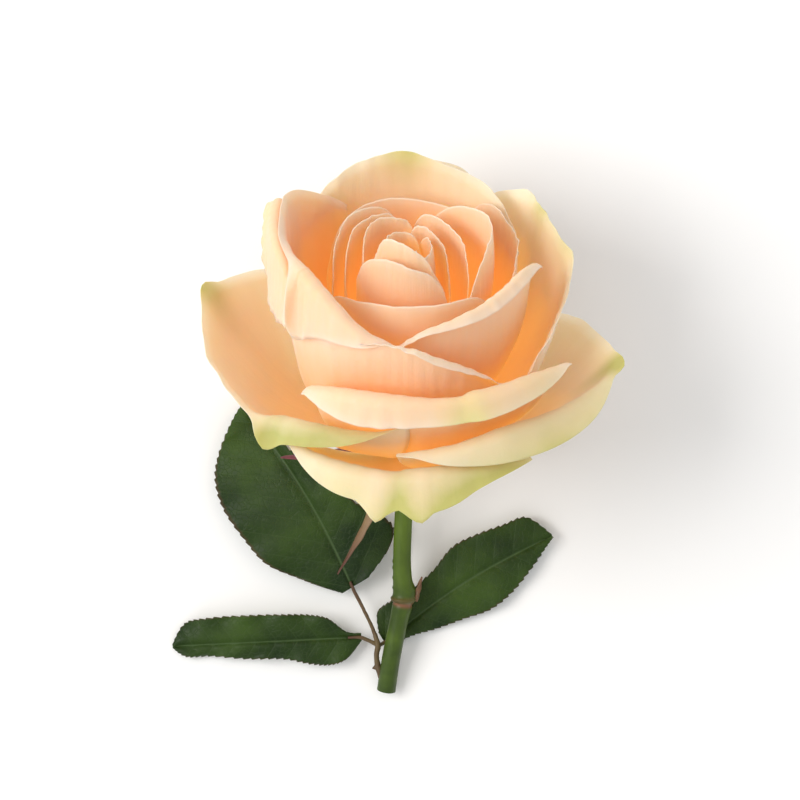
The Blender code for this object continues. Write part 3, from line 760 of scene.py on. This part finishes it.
stem = dict(
    path=[
        (-2.2, -68.6, 2.5, 2.40), (-0.9, -60.0, 5.2, 2.36), (0.9, -51.0, 7.6, 2.36),
        (1.9, -46.8, 8.8, 2.62), (2.1, -45.2, 9.2, 2.95), (2.1, -43.2, 9.7, 2.60),
        (1.8, -35.3, 11.8, 2.30), (2.2, -24.0, 14.6, 2.30), (2.9, -13.5, 17.4, 2.45),
        (3.3, -8.0, 20.6, 2.80),
    ],
    sides=40, steps=220, scarAt=-46.2, knobs=(-42.0, -39.5, -37.0, -35.4),
    dark=(0.022, 0.045, 0.004), light=(0.070, 0.120, 0.010),
    top=(0.125, 0.200, 0.016), scar=(0.20, 0.09, 0.045),
)
stalk = dict(
    path=[
        (-3.0, -65.4, 3.2, 1.25), (-4.3, -62.4, 3.7, 0.80), (-4.7, -59.6, 4.1, 0.66),
        (-4.4, -57.1, 4.4, 0.76), (-5.6, -53.0, 4.8, 0.48), (-8.2, -47.5, 5.2, 0.44),
        (-10.4, -43.2, 5.6, 0.46), (-11.4, -40.8, 6.0, 0.36),
    ],
    sides=20, steps=90, prickleAt=-62.5,
    dark=(0.07, 0.035, 0.02), light=(0.17, 0.13, 0.05), top=(0.10, 0.05, 0.03), scar=(0.2, 0.08, 0.05),
)
axilBud = dict(
    path=[
        (5.2, -45.6, 9.6, 0.55), (5.7, -43.6, 10.2, 0.72), (6.3, -41.4, 10.6, 0.50), (6.9, -39.4, 11.0, 0.12),
    ],
    sides=20, steps=30,
    dark=(0.06, 0.05, 0.02), light=(0.16, 0.12, 0.04), top=(0.14, 0.07, 0.03), scar=(0.2, 0.08, 0.05),
)
footStalks = dict(
    Left=[
        (-4.4, -57.0, 4.4, 0.62), (-6.6, -55.9, 4.5, 0.50), (-9.0, -55.0, 4.5, 0.48), (-12.0, -55.1, 4.6, 0.34),
    ],
    Right=[
        (-4.3, -57.2, 4.3, 0.62), (-3.6, -56.9, 3.4, 0.50), (-2.4, -56.2, 2.7, 0.48), (-0.6, -54.9, 2.6, 0.34),
    ],
)


def tubeFinish(name, spec):
    finish = newFinish(name, 0.42)
    place = readPlace(finish)
    stretch = addNode(finish, "VectorMath")
    stretch.operation = "MULTIPLY"
    feed(finish, stretch.inputs[0], place)
    stretch.inputs[1].default_value = (1.0, 0.12, 1.0)     # streaks run along the stem
    streak = noisePattern(finish, stretch.outputs[0], 900.0, 4.0)
    tone = noisePattern(finish, place, 120.0, 4.0)
    colour = colourRamp(finish, tone, [(0.35, spec["dark"]), (0.65, spec["light"])])
    upper = colourRamp(finish, readValue(finish, "climb"), [(0.45, (0, 0, 0)), (0.95, (1, 1, 1))])
    colour = mixColours(finish, upper, colour, spec["top"])
    colour = mixColours(finish, times(finish, streak, 0.35), colour, spec["dark"])
    colour = mixColours(finish, readValue(finish, "scar"), colour, spec["scar"])
    give(finish, "Base Color", colour)
    give(finish, "Specular IOR Level", 0.3)
    addRelief(finish, streak, 0.4, 0.0002)
    return finish


def makeTube(name, spec, node, shape):
    # shape gives the swelling of the skin and the share of scar at a place and a turn
    steps = spec["steps"]
    sides = spec["sides"]
    path = [curveAt(spec["path"], k / steps) for k in range(steps + 1)]
    points = []
    scars = []
    climb = []
    for k, place in enumerate(path):
        ahead = Vector(path[min(k + 1, steps)][:3] - path[max(k - 1, 0)][:3]).normalized()
        side = ahead.cross(Vector((0, 0, 1))).normalized()
        up = side.cross(ahead)
        for n in range(sides):
            turn = 2 * math.pi * n / sides
            around = side * math.cos(turn) + up * math.sin(turn)
            swell, scarred = shape(place, turn)
            points.append(list((Vector(place[:3]) + around * (place[3] + swell)) * mm))
            scars.append(scarred)
            climb.append(k / steps)
    faces = ringFaces(steps + 1, sides)
    made = newObject(name, points, faces, node)
    addValues(made.data, "scar", scars)
    addValues(made.data, "climb", climb)
    made.data.materials.append(tubeFinish(name + "Skin", spec))


def stemShape(place, turn):
    # the ring scar of the node, with a bulge on its right, and a few small bumps above it
    ring = bump(place[1], stem["scarAt"], 0.55)
    lip = bump(place[1], stem["scarAt"] + 1.3, 0.7)
    bulge = 0.8 * bump(place[1], stem["scarAt"] + 3.2, 1.6) * max(0.0, math.cos(turn))
    knobs = sum(0.22 * bump(place[1], at, 0.35) for at in stem["knobs"]) * max(0.0, -math.cos(turn)) ** 6
    furrow = 0.05 * noise.noise(Vector((math.cos(turn) * 4, math.sin(turn) * 4, place[1] * 0.1)))
    return lip * 0.28 - ring * 0.30 + bulge + knobs + furrow, min(1.0, ring + 0.35 * lip)


def stalkShape(place, turn):
    # a small prickle on the left below the fork
    prickle = 0.9 * bump(place[1], stalk["prickleAt"], 0.35) * max(0.0, -math.cos(turn)) ** 8
    return prickle + 0.08 * noise.noise(Vector((place[1], math.cos(turn), 0))), 0.0


def footShape(place, turn):
    return 0.04 * noise.noise(Vector((place[0], math.cos(turn), 0))), 0.0


def budShape(place, turn):
    # overlapping scales, halfway to the scar's colour
    return 0.10 * math.sin(3 * turn + place[1] * 2.2), 0.5


makeTube("flowerStem", stem, "stem", stemShape)
makeTube("leafStalk", stalk, "leaf_stalk", stalkShape)
makeTube("axilBud", axilBud, "axil_bud", budShape)
for side, path in footStalks.items():
    spec = dict(stalk, path=path, steps=24)
    makeTube("footStalk" + side, spec, f"leaflet_{side.lower()}", footShape)
print("stem, stalk and axil bud made")

# Leaflets: base and tip, bow of the midrib up and to the right, lift of the two
# halves, and widths of the left and right half at shares of the length

leaflets = dict(
    leaflet_tip=dict(
        name="leafletTip", base=(-10.9, -42.2, 5.4), tip=(-38.9, 4.4, 3.0),
        bow=4.0, aside=2.0, lift=(-2.5, 3.0), wave=0.5,
        halves=[
            (0.0, 3.0, 5.0), (0.07, 6.5, 13.5), (0.16, 10.5, 17.0), (0.3, 15.8, 12.8), (0.45, 17.4, 9.4),
            (0.62, 18.0, 6.0), (0.76, 16.0, 3.6), (0.86, 11.6, 2.4), (0.95, 5.2, 1.4), (1.0, 0.4, 0.4),
        ],
    ),
    leaflet_left=dict(
        name="leafletLeft", base=(-8.6, -54.9, 4.2), tip=(-56.8, -57.4, 1.2),
        bow=2.2, aside=0.0, lift=(-0.8, 1.8), wave=0.9,
        halves=[
            (0.0, 1.0, 1.0), (0.08, 5.4, 1.6), (0.17, 6.8, 5.2), (0.28, 6.2, 6.4), (0.42, 4.6, 6.8),
            (0.6, 4.2, 7.0), (0.8, 3.0, 6.8), (0.93, 2.8, 5.6), (1.0, 0.4, 0.4),
        ],
    ),
    leaflet_right=dict(
        name="leafletRight", base=(-2.6, -56.4, 2.2), tip=(40.2, -29.2, 3.4),
        bow=0.8, aside=-2.0, lift=(0.6, -0.6), wave=0.4,
        halves=[
            (0.0, 3.0, 0.8), (0.05, 7.6, 1.6), (0.14, 8.2, 2.4), (0.26, 8.0, 4.2), (0.4, 9.0, 5.8),
            (0.54, 11.4, 7.4), (0.68, 10.8, 6.6), (0.82, 9.2, 4.2), (0.94, 7.6, 1.6), (1.0, 0.4, 0.4),
        ],
    ),
)
blade = dict(
    teeth=34, halfColumns=16, toothDepth=0.5, thick=0.42, edgeThick=0.22,
    sideVeins=9, veinSweep=0.26, netScale=750.0, gloss=0.22,
    quilt=0.28, groove=0.45, dark=(0.008, 0.024, 0.002), light=(0.036, 0.074, 0.007),
    vein=(0.062, 0.105, 0.036), under=(0.07, 0.12, 0.05), margin=(0.10, 0.05, 0.03),
)


def makeLeaflet(node, spec, finish):
    base = np.array(spec["base"])
    tip = np.array(spec["tip"])
    ahead = Vector(tip - base).normalized()
    right = ahead.cross(Vector((0, 0, 1))).normalized()
    rows = 4 * blade["teeth"]
    half = blade["halfColumns"]
    grid = np.zeros((rows + 1, 2 * half + 1, 3))
    shares = np.zeros(grid.shape[:2])
    offsets = np.zeros(grid.shape[:2])
    for j in range(rows + 1):
        share, leftHalf, rightHalf = curveAt(spec["halves"], j / rows)
        arch = math.sin(math.pi * min(max(share, 0.0), 1.0))
        centre = base + (tip - base) * share + np.array(right) * spec["aside"] * arch
        centre[2] += spec["bow"] * arch
        tooth = (j % 4) / 4
        for i in range(2 * half + 1):
            across = i / half - 1
            reach = leftHalf + spec["aside"] * arch if across < 0 else rightHalf - spec["aside"] * arch
            lift = spec["lift"][0] if across < 0 else spec["lift"][1]
            raised = lift * abs(across) * math.sin(math.pi * min(1, share + 0.1)) ** 0.5
            nearEdge = max(0.0, (abs(across) - 0.86) / 0.14)
            ends = min(1.0, share * 8, (1 - share) * 12)
            reach += blade["toothDepth"] * (tooth ** 0.8 - 0.5) * nearEdge * ends
            phase = (share - blade["veinSweep"] * abs(across) * reach / 18) * blade["sideVeins"]
            ribbed = abs(math.sin(math.pi * phase)) ** 0.7
            ribbed *= (1 - abs(across) ** 4) * min(1.0, abs(across) * 5)
            wavy = spec["wave"] * math.sin(share * 31 + across * 2) * abs(across) ** 3 * ends
            crease = blade["groove"] * math.exp(-(across * reach / 0.8) ** 2)
            height = raised + blade["quilt"] * ribbed + wavy - crease
            height += 0.3 * noise.noise(Vector((share * 7, across * 2, spec["tip"][0])))
            side = np.array(right) * across * max(reach, 0.2)
            grid[j, i] = centre + side + np.array((0, 0, height)) + np.array(ahead) * tooth * 0.3 * nearEdge
            shares[j, i] = phase
            offsets[j, i] = across * reach
    edge = np.abs(np.tile(np.linspace(-1, 1, 2 * half + 1), (rows + 1, 1)))
    thick = blade["thick"] + (blade["edgeThick"] - blade["thick"]) * edge ** 4
    values = dict(phase=shares, offset=offsets, edge=edge)
    made = thinSolid(spec["name"], grid, thick, Matrix.Identity(4), node, values)
    made.data.materials.append(finish)


def leafFinish():
    finish = newFinish("leafGreen", 0.38)
    phase, offset, edge, outside = [readValue(finish, key) for key in ("phase", "offset", "edge", "outside")]
    place = readPlace(finish)
    tone = noisePattern(finish, place, 60.0, 4.0)
    cells = addNode(finish, "TexVoronoi")
    cells.feature = "DISTANCE_TO_EDGE"
    feed(finish, cells.inputs["Scale"], blade["netScale"])
    feed(finish, cells.inputs["Vector"], place)
    colour = colourRamp(finish, tone, [(0.35, blade["dark"]), (0.68, blade["light"])])
    # side veins lie where the phase is a whole number, the midrib where the offset is nought
    wave = calc(finish, "ABSOLUTE", calc(finish, "SINE", times(finish, phase, math.pi)))
    sideVein = atLeast(finish, minus(finish, 1.0, times(finish, wave, 9.0)), 0.0)
    away = calc(finish, "ABSOLUTE", offset)
    midrib = atLeast(finish, minus(finish, 1.0, times(finish, away, 1.8)), 0.0)
    net = minus(finish, 0.35, times(finish, cells.outputs["Distance"], 5.0))
    net = atLeast(finish, net, 0.0)
    veins = atLeast(finish, times(finish, sideVein, 0.32), times(finish, midrib, 0.9))
    veins = atLeast(finish, veins, times(finish, net, 0.5))
    colour = mixColours(finish, veins, colour, blade["vein"])
    rim = atLeast(finish, times(finish, minus(finish, edge, 0.95), 14.0), 0.0)
    colour = mixColours(finish, calc(finish, "MINIMUM", rim, 0.5), colour, blade["margin"])
    below = mixColours(finish, times(finish, veins, 0.8), blade["under"], blade["vein"])
    give(finish, "Base Color", mixColours(finish, outside, colour, below))
    give(finish, "Specular IOR Level", blade["gloss"])
    grain = colourRamp(finish, tone, [(0.3, (0.40, 0.40, 0.40)), (0.7, (0.54, 0.54, 0.54))])
    give(finish, "Roughness", grain)
    addRelief(finish, minus(finish, 1.0, plus(finish, veins, net)), 0.5, 0.00025)
    return finish


leafGreen = leafFinish()
for node, spec in leaflets.items():
    makeLeaflet(node, spec, leafGreen)
print("leaflets made:", len(leaflets))

# Sepals: base, middle and tip, width at the base, how far the blade twists and cups

sepals = [
    dict(path=[(-3.4, -5.0, 20.0), (-14.0, -8.0, 19.0), (-29.0, -9.0, 17.0)], width=5.0, twist=35, dry=0.0),
    dict(path=[(-1.6, -10.5, 24.0), (-6.5, -24.0, 19.0), (-14.6, -38.7, 13.0)], width=4.0, twist=70, dry=1.0),
    dict(path=[(9.0, -8.0, 21.0), (17.0, -9.5, 22.0), (27.0, -7.0, 20.0)], width=5.0, twist=25, dry=0.2),
    dict(path=[(0.0, 2.4, 17.0), (-6.0, 7.0, 9.0), (-13.0, 14.0, 4.5)], width=5.0, twist=20, dry=0.2),
    dict(path=[(7.0, 2.4, 17.0), (13.0, 7.0, 9.0), (20.0, 14.0, 4.5)], width=5.0, twist=-20, dry=0.2),
]
sepalLook = dict(
    rows=64, columns=14, thick=0.45, cup=0.5, lobe=0.55,
    green=(0.14, 0.20, 0.05), red=(0.16, 0.025, 0.045), straw=(0.26, 0.17, 0.08), brown=(0.10, 0.035, 0.02),
)


def sepalFinish(name, dry):
    finish = newFinish(name, 0.5)
    tone = noisePattern(finish, readPlace(finish), 260.0, 5.0)
    climb = readValue(finish, "climb")
    fresh = colourRamp(finish, climb, [(0.10, sepalLook["green"]), (0.45, sepalLook["red"])])
    dried = colourRamp(finish, climb, [(0.55, sepalLook["straw"]), (0.85, sepalLook["brown"])])
    colour = mixColours(finish, dry, fresh, dried)
    give(finish, "Base Color", mixColours(finish, times(finish, tone, 0.4), colour, sepalLook["brown"]))
    addRelief(finish, tone, 0.5, 0.0003)
    return finish


def makeSepal(number, spec):
    rows, columns = sepalLook["rows"], sepalLook["columns"]
    grid = np.zeros((rows + 1, columns + 1, 3))
    climb = np.zeros(grid.shape[:2])
    for j in range(rows + 1):
        t = j / rows
        place = curveAt(spec["path"], t)
        ahead = Vector(curveAt(spec["path"], t + 0.02) - curveAt(spec["path"], t - 0.02)).normalized()
        side = ahead.cross(Vector((0, 0.2, 1))).normalized()
        side.rotate(Matrix.Rotation(math.radians(spec["twist"] * t), 3, ahead))
        up = side.cross(ahead)
        lobes = 1 + sepalLook["lobe"] * max(0.0, math.sin(t * 21)) * bump(t, 0.45, 0.3)
        half = (0.5 * spec["width"] * (1 - t) ** 0.8 + 0.18) * lobes
        for i in range(columns + 1):
            across = 2 * i / columns - 1
            cup = -sepalLook["cup"] * across * across * half / 2.5
            cup += 0.12 * noise.noise(Vector((t * 9, across * 2, number)))
            grid[j, i] = Vector(place) + side * across * half + up * cup
            climb[j, i] = t
    thick = np.full(grid.shape[:2], sepalLook["thick"]) * (1 - 0.5 * climb)
    values = dict(climb=climb)
    made = thinSolid(f"sepal{number}", grid, thick, Matrix.Identity(4), f"sepal_{number}", values)
    made.data.materials.append(sepalFinish(f"sepalSkin{number}", spec["dry"]))


for number, spec in enumerate(sepals, 1):
    makeSepal(number, spec)
print("sepals made:", len(sepals))

# The room: pale floor, soft light, camera looking down

room = dict(
    floorColour=(0.96, 0.96, 0.96), floorSide=6.0, sky=0.75,
    keyPlace=(-1.3, 0.2, 1.6), keySize=1.1, keyPower=25.0, keyColour=(1.0, 0.98, 0.95),
    cameraHeight=2.2, viewWidth=0.2048, viewCentre=(0.0013, 0.0056),
)


def makeRoom():
    half = room["floorSide"] / 2
    mesh = bpy.data.meshes.new("floor")
    corners = [(-half, -half, 0), (half, -half, 0), (half, half, 0), (-half, half, 0)]
    mesh.from_pydata(corners, [], [(0, 1, 2, 3)])
    floor = bpy.data.objects.new("floor", mesh)
    bpy.context.scene.collection.objects.link(floor)
    finish = newFinish("floorWhite", 0.9)
    give(finish, "Base Color", room["floorColour"])
    mesh.materials.append(finish)
    world = bpy.data.worlds.new("softSky")
    bpy.context.scene.world = world
    world.use_nodes = True
    world.node_tree.nodes["Background"].inputs["Color"].default_value = (1.0, 1.0, 1.0, 1.0)
    world.node_tree.nodes["Background"].inputs["Strength"].default_value = room["sky"]
    lamp = bpy.data.lights.new("key", "AREA")
    lamp.energy = room["keyPower"]
    lamp.size = room["keySize"]
    lamp.color = room["keyColour"]
    key = bpy.data.objects.new("key", lamp)
    key.location = room["keyPlace"]
    aim = Vector((0, 0.02, 0.05)) - key.location
    key.rotation_euler = aim.to_track_quat("-Z", "Y").to_euler()
    bpy.context.scene.collection.objects.link(key)


def makeCamera():
    view = bpy.data.cameras.new("view")
    view.lens = view.sensor_width * room["cameraHeight"] / room["viewWidth"]
    view.clip_start = 0.05
    view.clip_end = 20.0
    camera = bpy.data.objects.new("view", view)
    camera.location = (*room["viewCentre"], room["cameraHeight"])
    bpy.context.scene.collection.objects.link(camera)
    bpy.context.scene.camera = camera


makeRoom()
makeCamera()
bpy.context.scene.view_settings.view_transform = "Standard"
